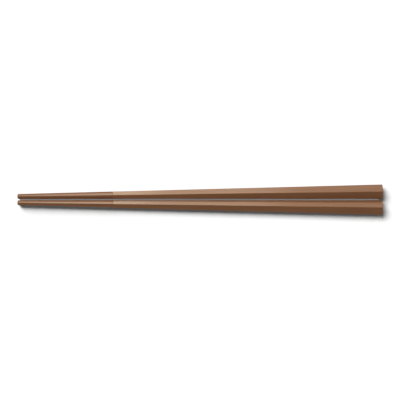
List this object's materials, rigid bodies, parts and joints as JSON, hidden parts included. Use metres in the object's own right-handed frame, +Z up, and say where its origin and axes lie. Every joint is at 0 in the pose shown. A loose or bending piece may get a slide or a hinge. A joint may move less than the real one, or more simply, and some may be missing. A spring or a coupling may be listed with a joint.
{
  "type": "pair of chopsticks",
  "caption": "Tapered brown resin chopsticks with a five-sided grip and a slim ten-sided eating end, lying side by side as a pair.",
  "frame": {"origin": "middle of the pair's footprint, on the surface the sticks lie on", "axes": "+X from the tips to the butt ends, +Y from the near stick to the far stick, +Z up"},
  "size_m": [0.23, 0.019, 0.0085],
  "materials": {
    "brown_resin": "satin"
  },
  "bodies": {
    "root": {"far_chopstick": "brown_resin", "near_chopstick": "brown_resin"}
  },
  "joints": []
}
